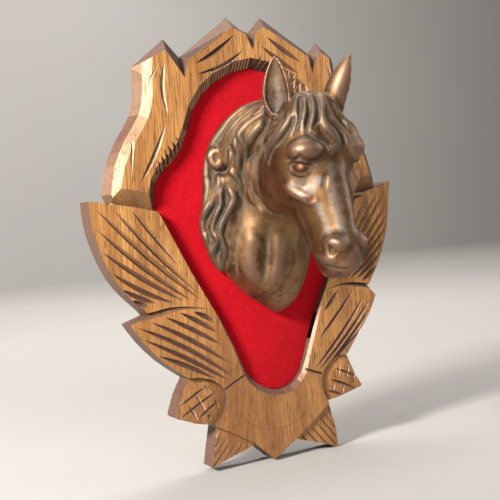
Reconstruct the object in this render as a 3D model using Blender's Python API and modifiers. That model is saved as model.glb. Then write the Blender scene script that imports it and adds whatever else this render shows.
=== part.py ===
"""Horse head wall plaque: a carved board, a felt lining and a cast horse head.

Sizes are in millimetres and are turned into metres where a mesh is made.
X runs to the viewer's right and Z up. The back of the board lies on Y = 0, and the
front looks towards -Y. A depth is measured from the board's face towards its back.
"""
import math

import bmesh
import bpy
from mathutils import Euler, Matrix, Vector

MM = 0.001
GAP = 0.3

# Board
BOARD_THICKNESS = 22.0
RECESS_DEPTH = 10.0
FELT_THICKNESS = 1.7
LIP = 1.0
HANGER_RADIUS = 4.0
HANGER_DEPTH = 9.0
HANGER_HEIGHT = 134.0

# Carver's tools: how far each side of a cut spreads for each millimetre of depth
GOUGE_SPREAD = 0.85
CHIP_SPREAD = 0.24
CHAMFER_SPREAD = 1.0
GROOVE_DEPTH = 2.8
PETAL_CHAMFER = 7.0
RIM_CHAMFER = 8.6
FAN_DROP = 3.0
CONE_EDGE_DROP = 4.5
CONE_RADIUS = 29.0
CONE_TOP_DROP = 0.8
HATCH_DEPTH = 1.7

# Horse head
HEAD_TURN = math.radians(5.0)
HEAD_PIVOT_X = 3.0
HEAD_PIVOT_OUT = 40.0
MASS_VOXEL = 2.6
HEAD_VOXEL = 1.8
EAR_WIDTH = 13.5
EAR_WALL = 2.4
NOSTRIL_RADIUS = 5.2
BACK_BLOCK = (300.0, 40.0, 400.0)
HEAD_TRIANGLES = 4300
FELT_FACE_DEPTH = RECESS_DEPTH - FELT_THICKNESS


def clear_scene():
    for item in list(bpy.data.objects):
        bpy.data.objects.remove(item, do_unlink=True)
    for group in list(bpy.data.collections):
        bpy.data.collections.remove(group)


def new_collection(name):
    group = bpy.data.collections.new(name)
    bpy.context.scene.collection.children.link(group)
    return group


def material(name, colour, roughness, metallic):
    made = bpy.data.materials.new(name)
    made.use_nodes = True
    shader = made.node_tree.nodes["Principled BSDF"]
    shader.inputs["Base Color"].default_value = (*colour, 1.0)
    shader.inputs["Roughness"].default_value = roughness
    shader.inputs["Metallic"].default_value = metallic
    return made


def on_board(x, z, depth):
    """A point of the board, by its depth under the face."""
    return Vector((x, depth - BOARD_THICKNESS, z)) * MM


def smooth_run(points, steps):
    """Points on a smooth curve through the given ones, both ends included."""
    ends = [points[0]] + list(points) + [points[-1]]
    run = []
    for i in range(1, len(ends) - 2):
        before, start, stop, after = (Vector(ends[i + k]) for k in (-1, 0, 1, 2))
        for j in range(steps):
            t = j / steps
            run.append(0.5 * (2 * start + (stop - before) * t
                              + (2 * before - 5 * start + 4 * stop - after) * t * t
                              + (3 * start - before - 3 * stop + after) * t ** 3))
    run.append(Vector(points[-1]))
    return run


def object_from_bmesh(name, shape, group):
    bmesh.ops.recalc_face_normals(shape, faces=shape.faces)
    mesh = bpy.data.meshes.new(name)
    shape.to_mesh(mesh)
    shape.free()
    made = bpy.data.objects.new(name, mesh)
    group.objects.link(made)
    return made


def loft(name, rings, group, point=False):
    """A closed body through rings of equally many points, capped at both ends."""
    shape = bmesh.new()
    rows = [[shape.verts.new(spot) for spot in ring] for ring in rings]
    count = len(rows[0])
    for low, high in zip(rows, rows[1:]):
        for i in range(count):
            j = (i + 1) % count
            shape.faces.new((low[i], low[j], high[j], high[i]))
    shape.faces.new(rows[0])
    if point:
        bmesh.ops.pointmerge(shape, verts=rows[-1], merge_co=rows[-1][0].co)
    else:
        shape.faces.new(rows[-1])
    return object_from_bmesh(name, shape, group)


def cutter_of(made):
    made.hide_render = True
    made.display_type = "WIRE"
    return made


def chisel_cut(name, path, depths, left, right, group):
    """A V-shaped cut along a path on the face, spreading by left and right of its bottom."""
    rings = []
    path = [Vector(spot) for spot in path]
    for i, spot in enumerate(path):
        along = path[min(i + 1, len(path) - 1)] - path[max(i - 1, 0)]
        side = Vector((-along.y, along.x)).normalized()
        rise = depths[i] + LIP
        to_left = spot + side * rise * left
        to_right = spot - side * rise * right
        rings.append([on_board(to_left.x, to_left.y, -LIP),
                      on_board(spot.x, spot.y, depths[i]),
                      on_board(to_right.x, to_right.y, -LIP)])
    return cutter_of(loft(name, rings, group))


def flat_ground(spot):
    """The board's face itself."""
    return 0.0


def groove(name, start, end, bow, group, depth=GROOVE_DEPTH, ground=flat_ground, steps=6):
    """A boat-shaped gouge cut that rises out of the ground at both ends."""
    start, end = Vector(start), Vector(end)
    along = end - start
    side = Vector((-along.y, along.x)).normalized()
    path, depths = [], []
    for i in range(steps + 1):
        t = i / steps
        belly = math.sin(math.pi * t)
        spot = start + along * t + side * bow * belly
        path.append(spot)
        depths.append(ground(spot) - 0.3 + (depth + 0.3) * belly ** 0.7)
    return chisel_cut(name, path, depths, GOUGE_SPREAD, GOUGE_SPREAD, group)


def board_outline():
    """Front and back outlines of the board, with equally many points each."""
    front, back = [], []

    def corner(face, rear=None):
        front.append(Vector(face))
        back.append(Vector(rear or face))

    def run(points, steps=2, lean=(0.0, 0.0)):
        for spot in smooth_run(points, steps):
            front.append(spot)
            back.append(spot + Vector(lean))

    # Top left petal, from the middle notch
    corner((5.6, 130.0), (12.3, 150.0))
    corner((-2.5, 145.0), (2.5, 154.0))
    corner((-16.5, 151.0), (-9.5, 163.5))
    corner((-61.8, 121.2), (-60.4, 127.0))
    # Left petal, from its notch
    corner((-66.6, 104.7), (-61.2, 126.4))
    corner((-83.6, 129.4), (-75.7, 142.6))
    corner((-103.5, 119.5), (-109.0, 116.5))
    run([(-104.2, 108.0), (-105.0, 92.0), (-110.0, 73.0), (-125.0, 50.5), (-136.0, 29.0), (-141.6, 4.0)],
        lean=(-4.5, 0.5))
    # Left wing
    corner((-142.8, -3.4))
    run([(-166.0, -0.5), (-164.0, -25.0), (-155.5, -53.5), (-142.0, -78.0), (-121.3, -100.0)], 3)
    # Left leaf
    corner((-118.0, -104.3))
    run([(-136.5, -110.2), (-124.5, -128.0), (-106.5, -147.5), (-84.0, -164.8)])
    # Left cone
    run([(-84.6, -167.0), (-92.5, -180.0), (-98.8, -197.3)])
    run([(-97.0, -199.2), (-80.0, -206.0), (-60.5, -210.6)], 1)
    # Left fan
    run([(-58.5, -214.0), (-62.5, -231.0), (-66.0, -249.0)], 1)
    corner((-23.6, -236.6))
    # Shield
    corner((-21.4, -234.8))
    corner((-2.0, -252.0))
    corner((23.5, -237.0))
    # Right fan
    corner((27.0, -239.0))
    run([(71.2, -253.2), (69.5, -234.0), (63.5, -210.5)], 1)
    # Right cone
    run([(61.0, -207.4), (80.0, -204.0), (101.5, -198.6)], 1)
    run([(102.9, -196.8), (94.5, -183.0), (88.3, -165.8)])
    # Right leaf
    run([(86.3, -164.6), (101.5, -146.0), (117.0, -125.7), (125.0, -110.0)])
    corner((118.7, -103.8))
    # Right wing
    run([(117.3, -99.6), (133.5, -72.5), (145.0, -39.0), (150.2, 1.2)], 3)
    corner((134.6, -3.2))
    # Right petal
    run([(133.6, 4.0), (127.0, 29.0), (115.5, 50.5), (101.5, 73.0), (96.5, 92.0), (95.8, 108.0)],
        lean=(4.5, 0.5))
    corner((95.5, 119.5), (100.5, 116.5))
    corner((80.6, 128.3), (88.0, 141.5))
    corner((75.5, 123.9), (80.0, 133.2))
    # Top right petal, from its notch
    corner((68.6, 109.1), (79.0, 132.4))
    corner((64.8, 124.8), (77.5, 132.0))
    corner((18.6, 151.7), (27.0, 164.8))
    corner((9.6, 146.8), (13.2, 150.6))
    return front, back


def recess_rim():
    """The recess wall as (point, depth of the bevel above it) pairs, from the top, anticlockwise."""
    stretches = [
        # Arch and shoulders down to the left wing's top
        ([(3.5, 114.8), (-16.5, 110.5), (-33.0, 102.0), (-47.0, 91.0), (-58.0, 76.0), (-65.0, 57.0),
          (-71.5, 43.0), (-82.0, 30.5), (-93.0, 21.5), (-99.5, 12.0), (-101.8, 0.0), (-102.8, -11.0)],
         RIM_CHAMFER, RIM_CHAMFER),
        # Straight flank along the left wing and leaf
        ([(-101.5, -13.0), (-74.5, -67.5), (-50.0, -112.0)], 0.8, 1.2),
        # Left of the point
        ([(-47.5, -117.0), (-35.5, -141.0), (-26.5, -163.0), (-19.5, -173.5)], 1.6, 5.4),
        # Round of the point
        ([(-13.5, -179.0), (-5.0, -184.5), (4.0, -188.0), (13.5, -188.5), (22.0, -186.5), (29.5, -181.5)],
         5.2, 4.0),
        # Right of the point
        ([(35.0, -175.0), (40.0, -164.0), (47.0, -144.5), (56.5, -120.5)], 3.4, 2.0),
        # Straight flank along the right leaf and wing
        ([(58.5, -116.0), (82.5, -67.5), (109.0, -13.0)], 1.6, 0.8),
        # Right shoulder back up to the arch
        ([(110.0, -11.0), (108.8, 0.0), (106.5, 12.0), (100.0, 21.5), (89.0, 30.5), (78.5, 43.0),
          (72.0, 57.0), (65.0, 76.0), (54.0, 91.0), (40.0, 102.0), (23.5, 110.5)], RIM_CHAMFER, RIM_CHAMFER),
    ]
    rim = []
    for points, first, last in stretches:
        spots = smooth_run(points, 1 if len(points) > 4 else 2)
        for i, spot in enumerate(spots):
            rim.append((spot, first + (last - first) * i / (len(spots) - 1)))
    return rim


def slab(name, outline, top, bottom, group):
    """A flat piece between two depths, with one outline."""
    return loft(name, [[on_board(p.x, p.y, top) for p in outline],
                       [on_board(p.x, p.y, bottom) for p in outline]], group)


def inset(outline, distance):
    """An anticlockwise outline moved inwards by a distance."""
    moved = []
    for i, spot in enumerate(outline):
        along = outline[(i + 1) % len(outline)] - outline[i - 1]
        moved.append(spot + Vector((-along.y, along.x)).normalized() * distance)
    return moved


def rim_cuts(group):
    """The bevel round the recess, cut in the stretches that have one depth law."""
    rim = recess_rim()
    closed = rim + rim[:1]
    path = [spot for spot, bevel in closed]
    depths = [bevel for spot, bevel in closed]
    ring = []
    count = len(rim)
    for i in range(count):
        along = path[(i + 1) % count] - path[i - 1]
        outward = Vector((along.y, -along.x)).normalized()
        rise = depths[i] + LIP
        high = path[i] + outward * rise * CHAMFER_SPREAD
        inner = path[i] - outward * LIP
        ring.append([on_board(high.x, high.y, -LIP), on_board(path[i].x, path[i].y, depths[i]),
                     on_board(inner.x, inner.y, depths[i]), on_board(inner.x, inner.y, -LIP)])
    shape = bmesh.new()
    rows = [[shape.verts.new(spot) for spot in section] for section in ring]
    for i in range(count):
        low, high = rows[i], rows[(i + 1) % count]
        for j in range(4):
            k = (j + 1) % 4
            shape.faces.new((low[j], low[k], high[k], high[j]))
    return cutter_of(object_from_bmesh("rim_bevel", shape, group))


def chip_cuts(group):
    """Rows of slanting chips that the carver struck across the rim's bevel."""
    rows = [
        # first point and last point on the recess wall, how many chips, and their slant
        ((-50.0, 88.5), (-12.0, 112.0), 11, 2.6),
        ((5.0, 114.9), (16.0, 113.0), 3, 1.2),
        ((-96.5, 18.5), (-69.5, 47.5), 8, 2.2),
        ((40.0, 102.0), (55.0, 90.0), 4, -1.0),
        ((76.5, 47.5), (103.5, 18.5), 8, -2.2),
    ]
    centre = Vector((3.5, 0.0))
    made = []
    for row, (first, last, count, slant) in enumerate(rows):
        first, last = Vector(first), Vector(last)
        along = (last - first).normalized()
        outward = Vector((along.y, -along.x))
        middle = (first + last) / 2
        if outward.dot(middle - centre) < 0:
            outward = -outward
        for i in range(count):
            t = i / (count - 1)
            spot = first.lerp(last, t) + outward * 2.6 * math.sin(math.pi * t)
            lean = along * slant
            start = spot - outward * 3.0 - lean
            end = spot + outward * (RIM_CHAMFER + 1.4) + lean
            made.append(chisel_cut("chip_%d_%d" % (row, i), [start, end],
                                   [RIM_CHAMFER + 3.6, 0.3], CHIP_SPREAD, CHIP_SPREAD, group))
    return made


def petal_chamfers(group):
    """Wide bevels down the outer side and the foot of each side petal."""
    left = [(-104.0, 128.0), (-106.4, 112.0), (-107.0, 92.0), (-112.2, 73.0), (-127.2, 50.5), (-138.4, 29.0),
            (-144.4, 4.0), (-145.0, -4.0)]
    right = [(137.0, -4.0), (136.4, 4.0), (129.6, 29.0), (117.7, 50.5), (103.6, 73.0), (98.5, 92.0),
             (98.0, 112.0), (95.6, 128.0)]
    made = []
    for name, path in (("left_petal_chamfer", left), ("right_petal_chamfer", right)):
        spots = smooth_run(path, 2)
        made.append(chisel_cut(name, spots, [PETAL_CHAMFER] * len(spots), 1.15, 0.6, group))
    # Foot bevels: the petal slopes down to a valley above the wing's straight top edge
    feet = (("left_petal_foot", [(-150.0, -1.6), (-123.0, -6.6), (-95.0, -14.0)], 0.18, 1.9),
            ("right_petal_foot", [(86.0, -14.0), (114.0, -7.2), (142.0, -0.8)], 0.18, 1.9))
    for name, path, low, high in feet:
        made.append(chisel_cut(name, path, [PETAL_CHAMFER] * 3, high, low, group))
    return made


def wing_grooves(group):
    """Feather grooves that fan out over the wings, the leaves and the petals."""
    families = {
        "left_wing": [((-163.5, -3.5), (-63.0, -98.3), -2.6), ((-146.0, -6.5), (-68.5, -89.5), -1.4),
                      ((-128.5, -9.5), (-84.0, -65.0), 0.4), ((-163.0, -22.5), (-73.0, -97.2), -2.6),
                      ((-159.5, -42.5), (-82.0, -95.5), -2.2), ((-152.0, -61.5), (-92.0, -95.8), -3.0),
                      ((-142.5, -77.5), (-110.0, -93.5), -1.4), ((-133.5, -88.5), (-118.0, -95.2), -0.5)],
        "right_wing": [((148.0, -2.5), (71.0, -95.0), 2.4), ((138.0, -5.0), (79.0, -80.0), 1.4),
                       ((126.0, -8.0), (92.0, -58.0), 0.4), ((149.0, -15.5), (75.0, -96.5), 2.6),
                       ((148.0, -28.5), (80.0, -95.5), 2.6), ((145.5, -41.0), (86.5, -93.5), 2.4),
                       ((141.5, -54.0), (94.0, -92.5), 2.0), ((136.0, -67.0), (102.0, -93.0), 1.2),
                       ((129.5, -80.5), (109.5, -95.0), 0.5)],
        "left_leaf": [((-75.5, -104.8), (-53.5, -117.0), 0.8), ((-90.0, -103.5), (-51.5, -127.2), 0.8),
                      ((-105.0, -105.5), (-48.5, -138.6), 0.8), ((-120.0, -108.0), (-40.5, -157.5), 2.6),
                      ((-134.0, -111.0), (-36.5, -171.5), 4.2), ((-128.0, -122.5), (-41.5, -173.5), 1.6),
                      ((-113.5, -139.5), (-57.5, -168.5), 1.2)],
        "right_leaf": [((84.0, -98.5), (62.5, -120.0), 0.6), ((101.5, -99.5), (53.5, -147.5), 1.4),
                       ((115.5, -104.0), (46.0, -176.0), 3.4), ((122.5, -108.5), (50.0, -178.0), 3.2),
                       ((121.0, -119.0), (54.5, -179.5), 2.6), ((109.0, -139.0), (62.0, -173.5), 1.2)],
        "left_petal": [((-89.0, 121.5), (-125.3, 14.0), -9.0), ((-84.9, 120.0), (-85.6, 71.0), -4.2),
                       ((-88.2, 65.0), (-118.5, 10.5), 2.0)],
        "right_petal": [((81.0, 121.5), (117.3, 14.0), 9.0), ((87.8, 118.0), (79.6, 71.0), 4.2),
                        ((80.2, 65.0), (110.5, 10.5), -2.0)],
        "top_left_petal": [((-56.7, 116.5), (-11.5, 145.2), -2.2), ((-56.0, 107.5), (-4.0, 130.8), -4.4)],
        "top_right_petal": [((19.5, 143.5), (58.0, 118.5), -1.0), ((13.5, 134.6), (54.5, 108.0), -1.2)],
    }
    made = []
    for family, cuts in families.items():
        for i, (start, end, bow) in enumerate(cuts):
            made.append(groove("%s_groove_%d" % (family, i), start, end, bow, group))
    return made


def crescent_cuts(group):
    """Long chips that part each wing from the leaf under it, and the leaves from the shield."""
    left = smooth_run([(-128.0, -103.4), (-113.0, -101.8), (-97.0, -99.6), (-78.0, -100.4),
                       (-54.0, -105.0)], 2)
    right = smooth_run([(122.0, -100.4), (108.0, -97.4), (95.0, -95.6), (82.0, -96.0),
                        (66.0, -99.8)], 2)
    depths = [3.6 * min(1.0, 1.6 * (1.0 - i / (len(left) - 1))) - 0.3 for i in range(len(left))]
    return [chisel_cut("left_crescent", left, depths, 0.4, 1.35, group),
            chisel_cut("right_crescent", right, depths, 0.9, 0.3, group),
            chisel_cut("left_shield_line", [(-52.0, -180.4), (-28.0, -168.8)], [1.8, 1.8], 0.5, 0.9, group),
            chisel_cut("right_shield_line", [(32.0, -170.0), (56.5, -179.4)], [1.8, 1.8], 0.5, 0.9, group)]


def dome_drop(share):
    """How far a cone's surface lies under the face, from its centre (0) to its edge (1)."""
    return CONE_TOP_DROP + (CONE_EDGE_DROP - CONE_TOP_DROP) * share * share


def dome_cutter(name, outline, centre, group, rings=4):
    """A cutter whose underside is a dome: deep round the outline, shallow at the centre."""
    rows = [[on_board(p.x, p.y, -LIP) for p in outline]]
    for i in range(rings):
        share = 1.0 - i / rings
        rows.append([on_board(*(centre + (p - centre) * share), dome_drop(share)) for p in outline])
    rows.append([on_board(*(centre + (p - centre) * 0.02), CONE_TOP_DROP) for p in outline])
    return cutter_of(loft(name, rows, group, point=True))


def cone_cuts(group):
    """The two cones: a domed ground below the shield's face, with cross-hatching."""
    left = smooth_run([(-88.0, -163.8), (-75.0, -164.6), (-62.0, -168.6), (-51.0, -177.5), (-47.4, -189.0),
                       (-51.0, -200.5), (-59.5, -209.0)], 2)
    left += [Vector((-66.0, -222.0)), Vector((-112.0, -206.0)), Vector((-104.0, -176.0))]
    right = smooth_run([(61.0, -206.2), (56.5, -198.0), (55.0, -188.5), (57.6, -178.5), (65.0, -169.8),
                        (76.0, -164.7), (90.0, -164.4)], 2)
    right += [Vector((104.0, -176.0)), Vector((114.0, -204.0)), Vector((68.0, -218.0))]
    centres = {"left_cone": Vector((-73.0, -188.0)), "right_cone": Vector((77.5, -186.0))}
    made = [dome_cutter("left_cone_ground", left, centres["left_cone"], group),
            dome_cutter("right_cone_ground", right, centres["right_cone"], group)]
    hatches = {
        "left_cone": [((-94.0, -188.0), (-62.0, -171.5)), ((-92.5, -197.5), (-54.0, -178.5)),
                      ((-79.0, -203.0), (-52.0, -187.0)), ((-71.0, -170.0), (-62.0, -183.0)),
                      ((-81.0, -175.5), (-69.0, -198.5)), ((-87.0, -188.5), (-77.5, -204.5)),
                      ((-61.0, -185.5), (-55.0, -197.0)), ((-68.5, -199.0), (-64.5, -206.5))],
        "right_cone": [((69.0, -175.5), (99.5, -189.5)), ((62.0, -185.5), (94.5, -199.5)),
                       ((59.0, -196.5), (79.0, -204.0)), ((79.5, -170.0), (73.5, -187.5)),
                       ((89.5, -173.0), (83.5, -189.5)), ((96.0, -182.5), (92.0, -193.5)),
                       ((71.0, -190.5), (66.0, -199.5)), ((81.5, -193.5), (76.5, -204.0))],
    }
    for family, cuts in hatches.items():
        def ground(spot, middle=centres[family]):
            return dome_drop(min(1.0, (spot - middle).length / CONE_RADIUS))
        for i, (start, end) in enumerate(cuts):
            made.append(groove("%s_hatch_%d" % (family, i), start, end, 0.6, group,
                               depth=HATCH_DEPTH, ground=ground, steps=5))
    return made


def fan_cuts(group):
    """The two fans under the shield: lowered ground with straight flutes."""
    made = []
    flutes = 7
    fans = (("left_fan", (-56.5, -214.5), (-25.5, -232.6), (-63.5, -226.0), (-66.5, -250.0), (-32.0, -239.5),
             [(-57.8, -212.9), (-21.2, -234.0), (-24.0, -246.0), (-72.0, -262.0), (-72.0, -214.0)]),
            ("right_fan", (61.0, -212.5), (29.0, -234.0), (68.5, -226.0), (71.5, -254.5), (36.0, -242.5),
             [(62.6, -208.8), (78.0, -210.0), (78.0, -266.0), (30.0, -248.0), (24.6, -236.2)]))
    for name, first, last, outer, tip, inner, ground in fans:
        outline = [Vector(p) for p in ground]
        made.append(cutter_of(slab("%s_ground" % name, outline, -LIP, FAN_DROP, group)))
        first, last, outer, tip, inner = (Vector(p) for p in (first, last, outer, tip, inner))
        for i in range(flutes):
            t = i / (flutes - 1)
            start = first.lerp(last, t)
            end = outer.lerp(tip, 2 * t) if t < 0.5 else tip.lerp(inner, 2 * t - 1)
            beyond = end + (end - start).normalized() * 3.0
            made.append(chisel_cut("%s_flute_%d" % (name, i), [start, start.lerp(beyond, 0.3), beyond],
                                   [FAN_DROP - 0.4, FAN_DROP + 1.3, FAN_DROP + 1.5], 0.6, 0.6, group))
    return made


def subtract(target, cutters, name):
    """Cut a target with cutters that are gathered in one collection."""
    cut = target.modifiers.new(name, "BOOLEAN")
    cut.operation = "DIFFERENCE"
    cut.solver = "EXACT"
    cut.operand_type = "COLLECTION"
    cut.collection = cutters
    return cut


def gathered(name, made, parent):
    group = bpy.data.collections.new(name)
    parent.children.link(group)
    for item in made:
        for old in list(item.users_collection):
            old.objects.unlink(item)
        group.objects.link(item)
    return group


def carved_plaque(parts, tools, wood):
    front, back = board_outline()
    board = loft("carved_plaque", [[on_board(p.x, p.y, 0.0) for p in front],
                                   [on_board(p.x, p.y, BOARD_THICKNESS) for p in back]], parts)
    board.data.materials.append(wood)
    wall = [spot for spot, bevel in recess_rim()]
    recess = cutter_of(slab("recess", wall, -LIP, RECESS_DEPTH, tools))
    bpy.ops.mesh.primitive_cylinder_add(vertices=16, radius=HANGER_RADIUS * MM, depth=2 * HANGER_DEPTH * MM,
                                        location=(0.0, 0.0, HANGER_HEIGHT * MM),
                                        rotation=(math.pi / 2, 0.0, 0.0))
    hanger = cutter_of(bpy.context.object)
    hanger.name = "hanging_hole"
    subtract(board, gathered("recess_cutters", [recess, hanger], tools), "recess")
    subtract(board, gathered("bevel_cutters", [rim_cuts(tools)], tools), "rim bevel")
    subtract(board, gathered("petal_cutters", petal_chamfers(tools), tools), "petal bevels")
    subtract(board, gathered("ground_cutters", crescent_cuts(tools), tools), "crescents")
    subtract(board, gathered("cone_cutters", cone_cuts(tools), tools), "cones")
    subtract(board, gathered("fan_cutters", fan_cuts(tools), tools), "fans")
    subtract(board, gathered("groove_cutters", wing_grooves(tools), tools), "grooves")
    subtract(board, gathered("chip_cutters", chip_cuts(tools), tools), "chips")
    return board


def felt_lining(parts, felt):
    wall = [spot for spot, bevel in recess_rim()]
    panel = slab("felt_lining", inset(wall, GAP), RECESS_DEPTH - FELT_THICKNESS, RECESS_DEPTH - GAP, parts)
    panel.data.materials.append(felt)
    return panel


def from_face(x, out, z):
    """A point by how far it stands out from the board's face."""
    return Vector((x, -(out + BOARD_THICKNESS), z)) * MM


def on_head(across, out, up):
    """A point in the head's own axes: the head is turned a little about an upright line."""
    ahead = out - HEAD_PIVOT_OUT
    cosine, sine = math.cos(HEAD_TURN), math.sin(HEAD_TURN)
    return from_face(HEAD_PIVOT_X + across * cosine + ahead * sine,
                     HEAD_PIVOT_OUT + ahead * cosine - across * sine, up)


def add_loft(shape, rings):
    """Add a closed lofted body to a mesh in the making."""
    rows = [[shape.verts.new(spot) for spot in ring] for ring in rings]
    count = len(rows[0])
    for low, high in zip(rows, rows[1:]):
        for i in range(count):
            j = (i + 1) % count
            shape.faces.new((low[i], low[j], high[j], high[i]))
    shape.faces.new(rows[0])
    shape.faces.new(rows[-1])


def add_ball(shape, centre, radii, side=1.0):
    """Add an egg whose radii run across the head, out from the wall and up."""
    across, out, up = centre
    place = Matrix.LocRotScale(on_head(across * side, out, up), Euler((0.0, 0.0, HEAD_TURN)),
                               Vector(radii) * MM)
    bmesh.ops.create_uvsphere(shape, u_segments=20, v_segments=12, radius=1.0, matrix=place)


def add_strand(shape, route, own_axes=False):
    """Add a tapering strand along (x, out, z, radius) points."""
    curve = bpy.data.curves.new("strand", "CURVE")
    curve.dimensions = "3D"
    curve.bevel_depth = MM
    curve.bevel_resolution = 3
    curve.use_fill_caps = True
    spots = smooth_run(route, 4)
    spline = curve.splines.new("POLY")
    spline.points.add(len(spots) - 1)
    for point, spot in zip(spline.points, spots):
        place = on_head(*spot[:3]) if own_axes else from_face(*spot[:3])
        point.co = (*place, 1.0)
        point.radius = spot[3]
    holder = bpy.data.objects.new("strand", curve)
    bpy.context.scene.collection.objects.link(holder)
    seen = holder.evaluated_get(bpy.context.evaluated_depsgraph_get())
    mesh = bpy.data.meshes.new_from_object(seen)
    shape.from_mesh(mesh)
    bpy.data.objects.remove(holder)
    bpy.data.meshes.remove(mesh)


def skull(shape):
    """The head from poll to chin, as rings between its front line and its jaw line."""
    # front (out, up), back (out, up), greatest half width
    stations = [((90.0, 81.0), (72.0, 79.0), 13.0), ((101.0, 74.0), (58.0, 73.0), 23.0),
                ((112.0, 61.0), (46.0, 60.0), 30.0), ((117.5, 46.0), (34.0, 47.0), 34.0),
                ((119.0, 30.0), (28.0, 31.0), 33.0), ((119.5, 16.0), (25.0, 13.0), 31.0),
                ((121.0, 2.0), (28.0, -5.0), 30.0), ((124.0, -12.0), (42.0, -19.0), 26.5),
                ((127.5, -25.0), (59.0, -31.0), 21.0), ((130.5, -36.0), (70.0, -43.0), 17.5),
                ((133.5, -46.0), (78.0, -55.0), 16.5), ((136.5, -54.0), (85.0, -66.0), 17.0),
                ((137.0, -62.0), (92.0, -74.0), 16.0), ((132.0, -70.0), (99.0, -78.5), 12.5),
                ((122.0, -76.0), (108.0, -80.0), 6.0)]
    sides = 28
    rings = []
    for front, back, width in stations:
        front, back = Vector(front), Vector(back)
        ring = []
        for i in range(sides):
            turn = 2.0 * math.pi * i / sides
            t = (1.0 - math.cos(turn)) / 2.0
            spot = front.lerp(back, t)
            reach = width * math.sin(math.pi * t ** 0.8) ** 0.6 if 0.0 < t < 1.0 else 0.0
            ring.append(on_head(math.copysign(reach, math.sin(turn)), spot.x, spot.y))
        rings.append(ring)
    add_loft(shape, rings)


def neck(shape):
    """The neck: an egg-shaped base on the felt that narrows towards the head."""
    base = [(14.0, -117.5), (33.0, -107.0), (48.0, -82.0), (56.0, -52.0), (57.0, -20.0), (54.0, 15.0),
            (47.0, 42.0), (34.0, 64.0), (12.0, 77.0), (-15.0, 66.0), (-34.0, 50.0), (-46.0, 30.0),
            (-50.0, 5.0), (-55.0, -24.0), (-53.0, -48.0), (-42.0, -69.0), (-19.0, -95.0)]
    centre = Vector((4.0, -5.0))
    # how far out, and the scale of the base across, below the centre and above it
    levels = [(-16.0, 1.0, 1.0, 1.0), (-2.0, 0.99, 0.99, 1.0), (6.0, 0.92, 0.95, 0.98),
              (14.0, 0.78, 0.87, 0.97), (20.0, 0.62, 0.75, 0.96), (27.0, 0.48, 0.55, 0.95),
              (40.0, 0.40, 0.28, 0.95), (55.0, 0.37, 0.12, 0.96), (76.0, 0.30, 0.02, 0.94)]
    rings = []
    for out, across, below, above in levels:
        ring = []
        for spot in smooth_run(base + base[:1], 2)[:-1]:
            offset = spot - centre
            drop = below if offset.y < 0.0 else above
            ring.append(from_face(centre.x + offset.x * across, out, centre.y + offset.y * drop))
        rings.append(ring)
    add_loft(shape, rings)
    # The neck's bulk under the mane, behind the cheek
    add_ball(shape, (-18.0, 36.0, 47.0), (15.0, 22.0, 22.0))
    add_ball(shape, (-19.0, 26.0, 16.0), (15.0, 18.0, 34.0))
    # Muscles that stand out down the throat
    add_strand(shape, [(-16.0, 24.0, -5.0, 7.0), (-20.0, 21.0, -45.0, 7.0), (-20.0, 15.5, -70.0, 6.5),
                       (-13.0, 2.5, -96.0, 4.5)])
    add_strand(shape, [(0.0, 29.0, -8.0, 7.0), (0.0, 25.0, -46.0, 7.0), (1.0, 20.0, -72.0, 6.5),
                       (6.0, 7.0, -100.0, 4.5)])


def face_masses(shape):
    """Cheeks, brows, cheekbones, nostrils and lips, which flow into the skull."""
    for side in (-1.0, 1.0):
        add_ball(shape, (16.0, 60.0, 12.0), (14.0, 35.0, 34.0), side)
        add_ball(shape, (21.0, 104.5, 28.5), (15.2, 16.0, 10.5), side)
        add_ball(shape, (9.5, 122.0, -50.0), (10.5, 14.0, 10.5), side)
        add_ball(shape, (11.0, 116.0, -61.0), (8.5, 13.0, 8.5), side)
        add_strand(shape, [(24.0 * side, 76.0, 5.0, 4.0), (27.0 * side, 90.0, -3.5, 5.0),
                           (23.5 * side, 103.0, -10.0, 5.2), (17.0 * side, 112.0, -14.0, 4.0)], True)
    add_ball(shape, (0.0, 122.0, -66.0), (14.0, 14.0, 10.5))
    add_ball(shape, (0.0, 106.0, -73.5), (11.5, 12.0, 7.0))


def eyes(shape):
    """Eyeballs with their lids."""
    for side in (-1.0, 1.0):
        add_ball(shape, (23.4, 100.6, 14.3), (6.6, 8.6, 6.4), side)
        add_strand(shape, [(25.5 * side, 89.0, 16.5, 1.6), (28.0 * side, 95.5, 20.0, 2.0),
                           (26.5 * side, 105.0, 20.0, 2.2), (21.5 * side, 113.5, 12.5, 1.8)], True)


def ear_sections(base, tip, facing, width, depth, shift):
    """Rings up an ear from its foot to its tip, with the hollow's side turned to facing."""
    base, tip, facing = Vector(base), Vector(tip), Vector(facing).normalized()
    axis = (tip - base).normalized()
    facing = (facing - axis * facing.dot(axis)).normalized()
    across = axis.cross(facing)
    shape_law = ((0.0, 0.62), (0.15, 0.86), (0.35, 1.0), (0.55, 0.93), (0.75, 0.68), (0.9, 0.38), (1.0, 0.1))
    sides = 12
    rings = []
    for t, share in shape_law:
        middle = base.lerp(tip, t) + facing * shift * share
        ring = []
        for i in range(sides):
            turn = 2.0 * math.pi * i / sides
            spot = middle + (across * width * math.cos(turn) + facing * depth * math.sin(turn)) * share
            ring.append(on_head(*spot))
        rings.append(ring)
    return rings


# Foot, tip, the way the hollow faces, and the depth from front to back
EARS = {
    "near": ((-24.5, 76.0, 58.0), (-31.0, 84.5, 110.0), (-0.74, 0.66, 0.05), 7.5),
    "far": ((24.0, 84.0, 59.0), (34.0, 106.0, 110.0), (0.85, 0.50, -0.05), 11.5),
}


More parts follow.
